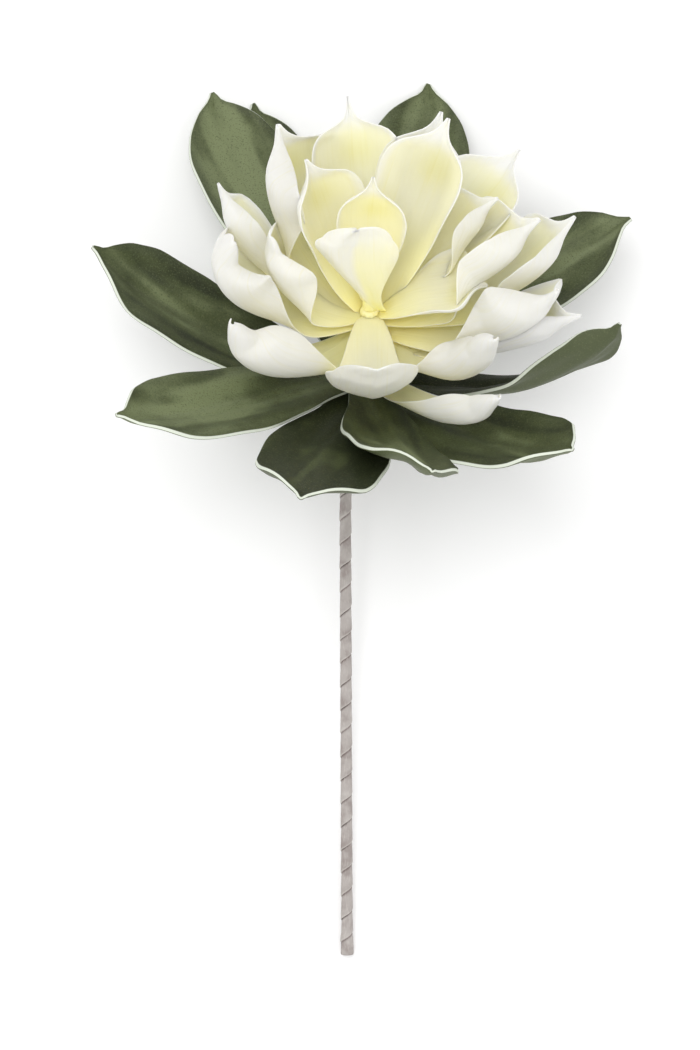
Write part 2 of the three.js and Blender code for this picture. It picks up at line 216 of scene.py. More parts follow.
def curve(pairs, x):
    """Smooth curve through (x, y) pairs that never overshoots them."""
    xs, ys = np.array(pairs, float).T
    step = np.diff(xs)
    slope = np.diff(ys) / step
    tangent = np.concatenate([slope[:1], np.zeros(len(xs) - 2), slope[-1:]])
    for i in range(1, len(xs) - 1):
        a, b = slope[i - 1], slope[i]
        tangent[i] = 0 if a * b <= 0 else 2 * a * b / (a + b)
    i = np.clip(np.searchsorted(xs, x, side="right") - 1, 0, len(xs) - 2)
    q = (x - xs[i]) / step[i]
    return ((2 * q**3 - 3 * q**2 + 1) * ys[i] + (q**3 - 2 * q**2 + q) * step[i] * tangent[i]
            + (3 * q**2 - 2 * q**3) * ys[i + 1] + (q**3 - q**2) * step[i] * tangent[i + 1])


def unit(v):
    return v / np.linalg.norm(v, axis=-1, keepdims=True)


def points_at(x, xs, table):
    """Points at the places x of a line that a table gives at the places xs."""
    return np.stack([np.interp(x, xs, table[:, k]) for k in range(3)], 1)


LEAN, RISE = math.radians(AXIS_LEAN), math.radians(AXIS_RISE)
FLOWER_UP = np.array([math.sin(LEAN), math.cos(RISE) * math.cos(LEAN),
                      math.sin(RISE) * math.cos(LEAN)])
FLOWER_RIGHT = np.array([math.cos(LEAN), -math.cos(RISE) * math.sin(LEAN),
                         -math.sin(RISE) * math.sin(LEAN)])
FLOWER_BACK = np.cross(FLOWER_UP, FLOWER_RIGHT)


def from_head(p):
    """Points in the flower's own axes, in millimetres, to the part's frame."""
    p = np.asarray(p, float)
    return HEAD + p[..., 0:1] * FLOWER_RIGHT + p[..., 1:2] * FLOWER_BACK + p[..., 2:3] * FLOWER_UP


# ---------------------------------------------------------------- blades

# A blade is a grid of points. Along it, s runs from 0 at the root to 1 at the tip. Across it,
# t runs from -1 at the right rim to 1 at the left one. The rows are shifted a little to the tip.
# One more row before them is tucked into the core, and is narrower.
ROWS = 56
ROW_SHIFT = 0.035
COLUMNS = 26
RIM_ANGLES = np.radians([90, 60, 30, 0])
MIDRIB_STEPS = 400
ROOT_ROW_SHARE = 0.6


def midrib(row, root, s):
    """Points of a blade's midrib at shares s of its length, and the directions aside and up there."""
    fine = np.linspace(0, 1, MIDRIB_STEPS + 1)
    slope = np.radians(curve([(i / 3, r) for i, r in enumerate(row["rise"])], fine))
    heading = np.radians(row["az"] + row.get("bend", 0) * fine**2)
    along = np.stack([np.cos(slope) * np.cos(heading), np.cos(slope) * np.sin(heading),
                      np.sin(slope)], 1)
    step = row["long"] / MIDRIB_STEPS
    line = np.concatenate([np.zeros((1, 3)), np.cumsum((along[1:] + along[:-1]) / 2 * step, 0)])
    az = math.radians(row["az"])
    line += np.array([root * math.cos(az), root * math.sin(az), row["h"]])
    heading = np.interp(s, fine, heading)
    aside = np.stack([-np.sin(heading), np.cos(heading), np.zeros_like(heading)], 1)
    up = np.cross(unit(points_at(s, fine, along)), aside)
    turn = np.radians(row.get("turn", 0) + row.get("twist", 0) * s)[:, None]
    point = tucked(row, points_at(s, fine, line), s)
    return point, aside * np.cos(turn) + up * np.sin(turn), up * np.cos(turn) - aside * np.sin(turn)


def tucked(row, point, s):
    """Points of a midrib with the root tucked into its core, raised and moved aside."""
    point[0] -= (point[2] - point[1]) / (s[2] - s[1]) * TUCK / row["long"]
    point[:, 2] += row.get("hump", 0) * (1 - smooth(0, 0.5, s))
    point[:, 0] += row.get("slide", 0) * (1 - smooth(0, 0.8, s))
    return point


def half_width(row, shape, s):
    """Half the width of a blade's flat sheet at shares s of its length."""
    widest = row["wide"] / 2
    more_at_root = row.get("base", shape[0][1]) - shape[0][1]
    half = widest * (curve(shape, s) + more_at_root * (1 - smooth(0, 0.3, s)))
    # A round tip keeps its width up to seven tenths of the length, then closes in an arch
    dome = np.sqrt(1.02 - np.clip((s - 0.7) / 0.3, 0, 1)**2.4)
    half = np.maximum(half, widest * row.get("blunt", 0) * dome * smooth(0.3, 0.6, s))
    kept = 1 - row.get("nib", 0) * smooth(0.84, 0.9, s)
    kept *= 1 - row.get("taper", 0) * (1 - smooth(0.2, 0.8, s))
    half *= kept
    half[0] *= ROOT_ROW_SHARE
    return half


def sheet_columns(half, rounding):
    """Places across a blade from -1 to 1, and the share of the rounding that the sheet is thick there."""
    edge = 1 - rounding / half
    rim = edge + (1 - edge) * np.sin(RIM_ANGLES)
    share = np.cos(RIM_ANGLES)
    middle = np.linspace(-1, 1, COLUMNS + 1)[1:-1] * edge
    t = np.concatenate([-rim, middle, rim[::-1]])
    return t, np.concatenate([share, np.ones(len(middle)), share[::-1]])


def cross_section(row, t, s, half):
    """Distances aside and up of a blade's cupped and folded cross-section."""
    flap = np.where(t > 0, row.get("left", 0), row.get("right", 0))
    flap = flap * smooth(row.get("start", 0), row.get("full", 0.6), s)
    arc = np.maximum(np.radians(row["cup"] * smooth(0, 0.6, s) + flap), 1e-4)
    pinch = 0 if "blunt" in row else TIP_PINCH
    fold = np.radians(row.get("keel", 0) * smooth(0.2, 0.8, s) + pinch * smooth(0.8, 1, s))
    folded_side = -1 if "right" in row else 1
    reach = half * np.where(t * folded_side < 0, row.get("far", 1), 1)
    angle = fold + arc * np.abs(t)
    return (reach * np.sign(t) * (np.sin(angle) - math.sin(fold)) / arc,
            reach * (math.cos(fold) - np.cos(angle)) / arc)


def rim_wave(t, s, phase):
    """Waves that grow towards both rims, as a share of their height."""
    start = np.where(t > 0, phase[0], phase[1])
    wave = np.sin(2 * math.pi * 1.7 * s + start) + 0.5 * np.sin(2 * math.pi * 3.9 * s + start * 2)
    return wave * np.abs(t)**3 * smooth(0.25, 0.6, s) * (1 - smooth(0.9, 1, s))


def away_from_ends(s):
    """1 along the middle of a blade, 0 at its root and tip."""
    return smooth(0.1, 0.4, s) * (1 - smooth(0.8, 0.95, s))


def leaf_relief(t, s, half, phase):
    """Height of a leaf's face: the groove of the midrib, long folds, ripples and dents."""
    groove = (t - 0.18 * math.sin(5 * s + phase[2])) * half / VEIN_WIDTH
    z = -VEIN_DEPTH * np.exp(-groove**2) * smooth(0.02, 0.2, s) * (1 - smooth(0.8, 0.97, s))
    within = away_from_ends(s)
    z += LEAF_FOLD * np.cos(t * 3.6 + phase[3] + 3.2 * s) * within * (1 - 0.6 * t**4)
    z += LEAF_RIPPLE * np.cos(t * 10 + phase[4] - 6 * s) * within * (1 - t**4)
    z += LEAF_DENT * np.sin(17 * s + 5 * t + phase[5]) * within * (1 - t**4)
    return z


def petal_relief(row, t, s, half, phase):
    """Height of a petal's face: bulge, soft folds, streaks, and the pressed face inside the margin."""
    z = -row.get("lobe", 0) * np.exp(-((t + 0.55) / 0.28)**2) * smooth(0.3, 0.7, s)
    z += PETAL_FOLD * np.cos(t * 5 + phase[2] + 2 * s) * away_from_ends(s) * (1 - t**4)
    near_tip = smooth(0.3, 0.75, s) * (1 - smooth(0.9, 0.98, s))
    z += PETAL_STREAK * np.cos(t * 14 + phase[3]) * near_tip * (1 - t**6)
    inside = 1 - margin(t[None], np.array([half]), np.array([s]))[0]
    z -= PRESS * (1 - row.get("tint", 0)) * inside * smooth(0.3, 0.6, s)
    return z


def sheet_row(row, s, half, thick, phase, leaf):
    """One row of points across a blade: places t, distances aside and up, and half the thickness."""
    rounding = min(RIM_ROUND * (LEAF_RIM_SHARE if leaf else 1), half * 0.5, thick * 0.8)
    t, share = sheet_columns(half, rounding)
    x, z = cross_section(row, t, s, half)
    lift = thick - rounding + rounding * share
    if leaf:
        curl = smooth(0.94, 1, s)
        x += CURL_ASIDE * math.sin(phase[6]) * curl
        z += LEAF_RIM_WAVE * rim_wave(t, s, phase) + leaf_relief(t, s, half, phase)
        z += CURL_UP * curl
    else:
        z += PETAL_RIM_WAVE * rim_wave(t, s, phase) + petal_relief(row, t, s, half, phase)
        lift *= 1 - RIM_THINNING * smooth(0.7, 1, np.abs(t))
    return t, x, z, lift


def sheet_faces(n, m):
    """Faces of a closed sheet of n rows and m columns, the upper side's points first."""
    top = lambda i, j: i * m + j
    under = lambda i, j: (n + i) * m + j
    faces = []
    for i in range(n - 1):
        for j in range(m - 1):
            faces.append((top(i, j), top(i + 1, j), top(i + 1, j + 1), top(i, j + 1)))
            faces.append((under(i, j), under(i, j + 1), under(i + 1, j + 1), under(i + 1, j)))
        faces.append((top(i, 0), under(i, 0), under(i + 1, 0), top(i + 1, 0)))
        faces.append((top(i + 1, m - 1), under(i + 1, m - 1), under(i, m - 1), top(i, m - 1)))
    for j in range(m - 1):
        faces.append((top(0, j + 1), under(0, j + 1), under(0, j), top(0, j)))
        faces.append((top(n - 1, j), under(n - 1, j), under(n - 1, j + 1), top(n - 1, j + 1)))
    return faces


def blade_mesh(name, row, shape, root, seed, leaf):
    """Closed sheet of foam with rounded rims, waved rims and pressed folds."""
    rng = random.Random(seed)
    phase = [rng.uniform(0, 2 * math.pi) for _ in range(8)]
    even = np.linspace(0, 1, ROWS)
    s = np.concatenate([[0], even + ROW_SHIFT * np.sin(math.pi * even) * even])
    half = half_width(row, shape, s)
    thick = (LEAF_FOAM if leaf else PETAL_FOAM) / 2 * (1 - TIP_THINNING * smooth(0.8, 1, s))
    sheet = [sheet_row(row, *place, phase, leaf) for place in zip(s, half, thick)]
    across, x, z, lift = (np.array(values) for values in zip(*sheet))
    point, aside, up = midrib(row, root, s)
    grid = point[:, None] + x[..., None] * aside[:, None] + z[..., None] * up[:, None]
    normal = unit(np.cross(np.gradient(grid, axis=0), np.gradient(grid, axis=1)))
    points = np.concatenate([grid + normal * lift[..., None], grid - normal * lift[..., None]])
    points = from_head(points.reshape(-1, 3)) * MM
    points[:, 2] = np.maximum(points[:, 2], 0)
    mesh = bpy.data.meshes.new(name)
    mesh.from_pydata(points.tolist(), [], sheet_faces(*across.shape))
    colour_values(mesh, row, s, half, across, flatness(lift, thick))
    return piece(name, mesh)


def colour_values(mesh, row, s, half, across, flat):
    """Stores the values that the foam materials colour a blade by, for both sides of the sheet."""
    tint = row.get("tint", 0) * smooth(-0.55, -0.05, across)
    same_on_both = {
        "along": np.repeat(s, across.shape[1]),
        "across": across,
        "margin": margin(across, half, s) * (1 - tint),
        "ripe": s[:, None] * (1 - tint) + row.get("pale", 0),
        "hollow_shade": hollow_shade(across, s),
        "painted_light_and_tone": np.full(across.size, row.get("painted_light_and_tone", 0.5)),
        "side_mm": across * half[:, None],
    }
    for name, values in same_on_both.items():
        store(mesh, name, np.tile(values.reshape(-1), 2))
    store(mesh, "face", np.concatenate([flat, -flat]))


def margin(across, half, s):
    """1 at the rim of a blade, 0 inside its soft white margin, which widens to the tip."""
    away = (1 - np.abs(across)) * half[:, None]
    width = MARGIN_WIDTH + MARGIN_GAIN * smooth(0.3, 0.7, s)
    side = 1 - smooth(0.2, 1, away / width[:, None])
    return np.maximum(side, smooth(0.82, 0.92, s[:, None] + 0.03 * np.abs(across)))


def hollow_shade(across, s):
    """1 where shade is painted, darker and yellower, in the cup below the tip on the inner face."""
    below_tip = np.exp(-((s - 0.74) / 0.1)**2)
    return np.exp(-((across + 0.1) / 0.5)**2) * below_tip[:, None]


def flatness(lift, thick):
    """1 on the flat of the sheet, falling to 0 round the rim."""
    return smooth(0.35, 0.95, lift / thick[:, None]).reshape(-1)


def store(mesh, name, values):
    layer = mesh.attributes.new(name, "FLOAT", "POINT")
    layer.data.foreach_set("value", np.asarray(values, np.float32))


def piece(name, mesh):
    """Object of a mesh in the scene, with smooth shading."""
    for p in mesh.polygons:
        p.use_smooth = True
    obj = bpy.data.objects.new(name, mesh)
    bpy.context.scene.collection.objects.link(obj)
    return obj


# ---------------------------------------------------------------- stem

def stem_table():
    """The line of the stem, densely: length, point and direction."""
    neck = HEAD - NECK_BELOW_HEAD * FLOWER_UP
    way = unit(STEM_TOP - FOOT)
    a, b = STEM_TOP, STEM_TOP + STEM_BEND_REACH * way
    c, d = neck - NECK_BEND_REACH * FLOWER_UP, neck
    q = np.linspace(0, 1, 400)[:, None]
    bend = (1 - q)**3 * a + 3 * q * (1 - q)**2 * b + 3 * q**2 * (1 - q) * c + q**3 * d
    line = np.concatenate([np.linspace(FOOT, STEM_TOP, 200)[:-1], bend,
                           np.linspace(neck, HEAD + WIRE_END_HEIGHT * FLOWER_UP, 50)[1:]])
    length = np.concatenate([[0], np.cumsum(np.linalg.norm(np.diff(line, axis=0), axis=1))])
    return length, line, unit(np.gradient(line, axis=0))


STEM = stem_table()

# The tape is made on a straight upright stem that stands at height 0, and bent afterwards. Each
# pair of its strip is a share of the pitch, from the lower rim up, and the share of TAPE_STEP that
# the strip stands proud there.
TAPE_FOOT = 0.01
TAPE_TOP = STEM[0][-1] - WIRE_END_HEIGHT + LOWER_LEAF_HUB[0] - HUB_GAP
TAPE_SIDES = 48
TAPE_STRIP = [(0, -0.25), (0.01, 0.9), (0.03, 1), (0.12, 0.92), (0.25, 0.8), (0.4, 0.66),
              (0.55, 0.5), (0.7, 0.34), (0.85, 0.17), (1, 0)]
MERGE = 1e-4


def along_stem(p):
    """Bends points of a straight upright stem along its line."""
    length, line, way = STEM
    point, t = points_at(p[:, 2], length, line), unit(points_at(p[:, 2], length, way))
    x = unit(np.array([1.0, 0, 0]) - t * t[:, 0:1])
    y = np.cross(t, x)
    return point + x * p[:, 0:1] + y * p[:, 1:2]


def tape_point(k, v, proud, waves):
    """Point of the straight tape, k sides along the strip and at a share v of its width."""
    wander = 0.5 * math.sin(k * 0.043 + 1) + 0.35 * math.sin(k * 0.017)
    height = TAPE_PITCH * (k / TAPE_SIDES + v) + wander * (1 - v) * 0.8
    angle = 2 * math.pi * k / TAPE_SIDES
    crease = sum(math.sin(a * angle * 1.37 + b * height + c) for a, b, c in waves) / len(waves)
    radius = TAPE_RADIUS + FLARE_RADIUS * float(smooth(TAPE_TOP - FLARE_LENGTH, TAPE_TOP, height))
    radius += TAPE_STEP * proud + TAPE_CREASE * crease * min(v * 4, 1)
    radius += FOOT_FLARE_RADIUS * float(smooth(FOOT_FLARE_TOP, FOOT_FLARE_FULL, height))
    return radius * math.cos(angle), radius * math.sin(angle), height


def strip_faces(turns):
    """Faces of the wound strip, each turn joined to the one above it."""
    m = len(TAPE_STRIP)
    faces = []
    for k in range(turns):
        for j in range(m - 1):
            faces.append((k * m + j, (k + 1) * m + j, (k + 1) * m + j + 1, k * m + j + 1))
        above = k + TAPE_SIDES
        if above < turns:
            faces.append((k * m + m - 1, (k + 1) * m + m - 1, (above + 1) * m, above * m))
    return faces


def of_type(kind, elements):
    return [e for e in elements if isinstance(e, kind)]


def close_end(bm, height, outward):
    """Cuts the straight tape square at a height, and closes it round the hole of the wire."""
    cut = bmesh.ops.bisect_plane(bm, geom=bm.verts[:] + bm.edges[:] + bm.faces[:],
                                 plane_co=(0, 0, height), plane_no=(0, 0, outward),
                                 clear_outer=True, dist=MERGE)
    rim = [e for e in of_type(bmesh.types.BMEdge, cut["geom_cut"]) if e.is_boundary]
    hole = bmesh.ops.extrude_edge_only(bm, edges=rim)["geom"]
    for v in of_type(bmesh.types.BMVert, hole):
        v.co.xy = v.co.xy.normalized() * WIRE_HOLE_RADIUS
    rim = [e for e in of_type(bmesh.types.BMEdge, hole) if e.is_boundary]
    bottom = bmesh.ops.extrude_edge_only(bm, edges=rim)["geom"]
    for v in of_type(bmesh.types.BMVert, bottom):
        v.co.z -= outward * WIRE_HOLE_DEPTH
    rim = [e for e in of_type(bmesh.types.BMEdge, bottom) if e.is_boundary]
    bmesh.ops.contextual_create(bm, geom=rim)


def bend_to_stem(mesh):
    """Turns the straight mesh, in millimetres, into the bent one, in metres and above the ground."""
    co = np.zeros(len(mesh.vertices) * 3, np.float32)
    mesh.vertices.foreach_get("co", co)
    bent = along_stem(co.reshape(-1, 3).astype(float))
    bent[:, 2] = np.maximum(bent[:, 2], 0)
    mesh.vertices.foreach_set("co", (bent * MM).astype(np.float32).reshape(-1))
    mesh.update()


def tape_wrap(name):
    """Strip of crepe tape wound up the stem, each turn lapping over the one below."""
    rng = random.Random(7)
    waves = [(rng.uniform(3, 9), rng.uniform(0.5, 3.5), rng.uniform(0, 6.28)) for _ in range(8)]
    first, last = -TAPE_SIDES, int(math.ceil((TAPE_TOP / TAPE_PITCH + 1) * TAPE_SIDES))
    places = [(k, v, proud) for k in range(first, last + 1) for v, proud in TAPE_STRIP]
    mesh = bpy.data.meshes.new(name)
    mesh.from_pydata([tape_point(*place, waves) for place in places], [], strip_faces(last - first))
    store(mesh, "lap", [v for k, v, proud in places])
    bm = bmesh.new()
    bm.from_mesh(mesh)
    close_end(bm, TAPE_FOOT, -1)
    close_end(bm, TAPE_TOP, 1)
    bmesh.ops.remove_doubles(bm, verts=bm.verts[:], dist=MERGE)
    bmesh.ops.recalc_face_normals(bm, faces=bm.faces[:])
    bm.to_mesh(mesh)
    bm.free()
    bend_to_stem(mesh)
    return piece(name, mesh)


# ---------------------------------------------------------------- cores

CORE_SIDES = 72
CORE_RINGS = 14


def core_point(hub, folds, slim, i, k):
    """Point k of ring i of a core, in the flower's own axes."""
    low, high, radius = hub
    u, a = i / CORE_RINGS, 2 * math.pi * k / CORE_SIDES
    belly = radius * (1 - CORE_END_SHARE * (2 * u - 1)**4) - CORE_INSET - slim
    fold = math.sin(folds * a / 2 + 1.3 * math.sin(2 * u + a))
    r = belly - CORE_FOLD * (1 - fold**2) - CORE_DENT * (1 + math.sin(3 * a + 5 * u))
    return r * math.cos(a), r * math.sin(a), low + (high - low) * u


def core_faces():
    """Faces of a closed stack of rings. The middles of the low and the high end are the last points."""
    n = CORE_SIDES
    high_ring = CORE_RINGS * n
    low_middle, high_middle = high_ring + n, high_ring + n + 1
    faces = []
    for ring in range(0, high_ring, n):
        for k in range(n):
            after = (k + 1) % n
            faces.append((ring + k, ring + after, ring + n + after, ring + n + k))
    for k in range(n):
        after = (k + 1) % n
        faces.append((low_middle, after, k))
        faces.append((high_middle, high_ring + k, high_ring + after))
    return faces


def gathered_core(name, hub, folds, slim=0):
    """Sheet roots gathered in folds and pressed round the wire, slimmer than the hub by slim."""
    points = [core_point(hub, folds, slim, i, k)
              for i in range(CORE_RINGS + 1) for k in range(CORE_SIDES)]
    points += [(0, 0, hub[0]), (0, 0, hub[1])]
    mesh = bpy.data.meshes.new(name)
    mesh.from_pydata((from_head(points) * MM).tolist(), [], core_faces())
    store(mesh, "ripe", np.full(len(points), CORE_RIPENESS))
    return piece(name, mesh)


# ---------------------------------------------------------------- nodes of the materials

# Sockets of the mix node when it mixes colours
MIX_FACTOR, MIX_A, MIX_B, MIX_RESULT = 0, 6, 7, 2


def new_material(name):
    mat = bpy.data.materials.new(name)
    mat.use_nodes = True
    tree = mat.node_tree
    return mat, tree, tree.nodes["Principled BSDF"]


def feed(tree, socket, value):
    """Gives a socket a number, a colour or another node's output."""
    if isinstance(value, (int, float)):
        socket.default_value = value
    elif isinstance(value, tuple):
        socket.default_value = (*value, 1)
    else:
        tree.links.new(value, socket)


def dress(tree, shader, inputs):
    """Feeds the named inputs of a material's shader."""
    for name, value in inputs.items():
        feed(tree, shader.inputs[name], value)


def attribute(tree, name):
    node = tree.nodes.new("ShaderNodeAttribute")
    node.attribute_name = name
    return node.outputs["Fac"]


def ramp(tree, value, stops):
    """Colour of a value between stops, which are pairs of a value and a colour."""
    node = tree.nodes.new("ShaderNodeValToRGB")
    node.color_ramp.interpolation = "EASE"
    elements = node.color_ramp.elements
    while len(elements) < len(stops):
        elements.new(0.5)
    for element, (place, colour) in zip(elements, stops):
        element.position = place
        element.color = (*colour, 1)
    tree.links.new(value, node.inputs["Fac"])
    return node.outputs["Color"]


def level(tree, value, low, high, to_low=0.0, to_high=1.0):
    """Smooth step from to_low, where the value is low, to to_high, where it is high."""
    node = tree.nodes.new("ShaderNodeMapRange")
    node.interpolation_type = "SMOOTHSTEP"
    node.inputs["From Min"].default_value = low
    node.inputs["From Max"].default_value = high
    node.inputs["To Min"].default_value = to_low
    node.inputs["To Max"].default_value = to_high
    tree.links.new(value, node.inputs["Value"])
    return node.outputs["Result"]


def mix(tree, factor, a, b, mode="MIX"):
    """Colour a with the factor's share of colour b."""
    node = tree.nodes.new("ShaderNodeMix")
    node.data_type = "RGBA"
    node.blend_type = mode
    for socket, value in ((MIX_FACTOR, factor), (MIX_A, a), (MIX_B, b)):
        feed(tree, node.inputs[socket], value)
    return node.outputs[MIX_RESULT]


def calc(tree, operation, *values):
    node = tree.nodes.new("ShaderNodeMath")
    node.operation = operation
    for socket, value in zip(node.inputs, values):
        feed(tree, socket, value)
    return node.outputs[0]


def noise(tree, where, scale, detail=2.0, rough=0.5):
    node = tree.nodes.new("ShaderNodeTexNoise")
    node.inputs["Scale"].default_value = scale
    node.inputs["Detail"].default_value = detail
    node.inputs["Roughness"].default_value = rough
    tree.links.new(where, node.inputs["Vector"])
    return node.outputs["Fac"]


def swing(tree, value, size):
    """Noise as a swing to both sides of 0, of the given size."""
    return calc(tree, "MULTIPLY", calc(tree, "SUBTRACT", value, 0.5), size)


def bump(tree, shader, height, strength, distance, after=None):
    """Relief of a height in the shader's normal, on top of the relief of another bump."""
    node = tree.nodes.new("ShaderNodeBump")
    node.inputs["Strength"].default_value = strength
    node.inputs["Distance"].default_value = distance
    tree.links.new(height, node.inputs["Height"])
    if after is not None:
        tree.links.new(after, node.inputs["Normal"])
    tree.links.new(node.outputs["Normal"], shader.inputs["Normal"])
    return node.outputs["Normal"]


def object_place(tree):
    return tree.nodes.new("ShaderNodeTexCoord").outputs["Object"]


def scaled(tree, place, scale, turn=0.0):
    """A place with its three numbers scaled, turned about the last one by an angle in radians."""
    node = tree.nodes.new("ShaderNodeMapping")
    node.inputs["Scale"].default_value = scale
    node.inputs["Rotation"].default_value = (0, 0, turn)
    tree.links.new(place, node.inputs["Vector"])
    return node.outputs["Vector"]


def sheet_place(tree, side_scale, along_scale):
    """Place on the unrolled blade, for streaks that follow it: millimetres aside, share along."""
    join = tree.nodes.new("ShaderNodeCombineXYZ")
    for axis, name in (("X", "side_mm"), ("Y", "along"), ("Z", "face")):
        tree.links.new(attribute(tree, name), join.inputs[axis])
    return scaled(tree, join.outputs["Vector"], (side_scale, along_scale, 1))


# ---------------------------------------------------------------- materials

YELLOW = (0.95, 0.87, 0.38)
CREAM = (0.93, 0.885, 0.50)
PALE = (0.86, 0.83, 0.57)
WHITE = (0.80, 0.80, 0.765)
HOLLOW_SHADE = (0.70, 0.655, 0.30)


def petal_foam(name):
    """White foam sheet, yellow at the root, with a soft white margin round its creamier face, and
    shade painted darker yellow in the cup below its tip.
    """
    mat, tree, shader = new_material(name)
    ripe, rim, face = (attribute(tree, n) for n in ("ripe", "margin", "face"))
    place = object_place(tree)
    cloud = noise(tree, place, scale=38, detail=3)
    ripe = calc(tree, "ADD", ripe, swing(tree, cloud, 0.2))
    inner = ramp(tree, ripe, [(0.0, YELLOW), (0.28, CREAM), (0.62, PALE), (1.0, PALE)])
    # Painted shade: the inner face is made darker and yellower in the cup below the tip
    inner = mix(tree, calc(tree, "MULTIPLY", attribute(tree, "hollow_shade"), 0.7), inner, HOLLOW_SHADE)
    outer = ramp(tree, ripe, [(0.0, YELLOW), (0.14, CREAM), (0.4, WHITE), (1.0, WHITE)])
    patch = noise(tree, place, scale=120, detail=2)
    rim = calc(tree, "MULTIPLY", rim, level(tree, patch, 0.2, 0.6, 0.55, 1.0))
    inner = mix(tree, rim, inner, WHITE)
    colour = mix(tree, level(tree, face, -0.3, 0.3), outer, inner)
    streak = noise(tree, sheet_place(tree, 0.55, 2.2), scale=1.0, detail=3)
    colour = mix(tree, level(tree, streak, 0.5, 0.8, 0.0, 0.25), colour, CREAM, "MULTIPLY")
    dress(tree, shader, {"Base Color": colour, "Roughness": 0.6, "Specular IOR Level": 0.35,
                         "Subsurface Weight": 0.9, "Subsurface Scale": 0.006})
    shader.inputs["Subsurface Radius"].default_value = (1.0, 1.0, 0.9)
    soft = noise(tree, sheet_place(tree, 0.35, 3.0), scale=1.0, detail=2)
    folds = bump(tree, shader, soft, strength=0.25, distance=0.0012)
    grain = noise(tree, place, scale=1500, detail=2)
    bump(tree, shader, grain, strength=0.12, distance=0.0003, after=folds)
    return mat


LEAF_DARK = (0.022, 0.028, 0.010)
LEAF_MID = (0.062, 0.076, 0.028)
LEAF_LIGHT = (0.170, 0.200, 0.095)
LEAF_CUT = (0.66, 0.70, 0.60)


def leaf_foam(name):
    """Olive green foam sheet, clouded and grained, with pale cut edges, and painted light and shade:
    streaks for its folds, a lightness per leaf, and shade darker to the rims and at the root.
    """
    mat, tree, shader = new_material(name)
    along, across, face = (attribute(tree, n) for n in ("along", "across", "face"))
    place = object_place(tree)
    cloud = noise(tree, place, scale=22, detail=4, rough=0.6)
    # Painted light and shade: lighter and darker streaks along the leaf stand for the shading of its long
    # folds
    fold_shade = noise(tree, sheet_place(tree, 0.09, 2.4), scale=1.0, detail=1, rough=0.4)
    shade = calc(tree, "ADD", swing(tree, cloud, 1.0), swing(tree, fold_shade, 1.2))
    # Painted light and shade: each leaf's lightness is set for how the light falls on it
    painted_light_and_tone = calc(tree, "ADD", attribute(tree, "painted_light_and_tone"), shade)
    colour = ramp(tree, painted_light_and_tone, [(0.2, LEAF_DARK), (0.5, LEAF_MID), (0.95, LEAF_LIGHT)])
    edge = calc(tree, "ABSOLUTE", across)
    # Painted shade: the leaf is darker towards its rims
    colour = mix(tree, level(tree, edge, 0.55, 1.0, 0.0, 0.45), colour, LEAF_DARK)
    # Painted shade: the leaf is darker near its root, under the flower
    colour = mix(tree, level(tree, along, 0.32, 0.05, 0.0, 0.3), colour, LEAF_DARK)
    speck = noise(tree, place, scale=1100, detail=2, rough=0.7)
    colour = mix(tree, level(tree, speck, 0.52, 0.72, 0.0, 0.35), colour, LEAF_LIGHT)
    colour = mix(tree, level(tree, speck, 0.48, 0.3, 0.0, 0.5), colour, LEAF_DARK)
    under = mix(tree, 0.35, colour, LEAF_LIGHT)
    colour = mix(tree, level(tree, face, -0.9, -0.3), under, colour)
    flat = calc(tree, "ABSOLUTE", face)
    colour = mix(tree, level(tree, flat, 0.85, 0.35), colour, LEAF_CUT)
    dress(tree, shader, {"Base Color": colour, "Roughness": 0.55, "Specular IOR Level": 0.3})
    crumple = noise(tree, place, scale=90, detail=3)
    folds = bump(tree, shader, crumple, strength=0.3, distance=0.0015)
    grain = noise(tree, place, scale=1600, detail=3)
    bump(tree, shader, grain, strength=0.3, distance=0.0003, after=folds)
    return mat


TAPE_COLOURS = [(0.3, (0.30, 0.26, 0.245)), (0.55, (0.41, 0.375, 0.355)), (0.8, (0.52, 0.49, 0.465))]
TAPE_RIM = (0.55, 0.52, 0.48)
TAPE_SEAM_SHADE = (0.12, 0.085, 0.08)
TAPE_CREPE = (0.6, 0.56, 0.52)


def tape_crepe(name):
    """Taupe crepe tape, pale at its lapping rim, with shade painted dark in the seam below it."""
    mat, tree, shader = new_material(name)
    place = object_place(tree)
    lap = attribute(tree, "lap")
    colour = ramp(tree, noise(tree, place, scale=120, detail=4), TAPE_COLOURS)
    colour = mix(tree, level(tree, lap, 0.09, 0.0, 0.0, 0.75), colour, TAPE_RIM)
    # Painted shade: dark in the seam under the lapping rim of the turn above
    colour = mix(tree, level(tree, lap, 0.86, 1.0, 0.0, 0.8), colour, TAPE_SEAM_SHADE)
    crepe = noise(tree, scaled(tree, place, (1, 0.18, 0.6), turn=0.5), scale=1500, detail=3)
    colour = mix(tree, level(tree, crepe, 0.5, 0.7, 0.0, 0.3), colour, TAPE_CREPE)
    dress(tree, shader, {"Base Color": colour, "Roughness": 0.75})
    bump(tree, shader, crepe, strength=0.5, distance=0.0004)
    return mat


STEEL_COLOURS = [(0.3, (0.30, 0.30, 0.31)), (0.7, (0.52, 0.52, 0.53))]


def wire_steel(name):
    """Bare steel wire with fine scratches."""
    mat, tree, shader = new_material(name)
    scratch = noise(tree, object_place(tree), scale=900, detail=3)
    dress(tree, shader, {"Base Color": ramp(tree, scratch, STEEL_COLOURS), "Metallic": 1.0,
                         "Roughness": level(tree, scratch, 0.3, 0.7, 0.3, 0.5)})
    bump(tree, shader, scratch, strength=0.2, distance=0.0002)
    return mat


CORE_COLOURS = [(0.3, (0.03, 0.04, 0.018)), (0.7, (0.08, 0.10, 0.05))]


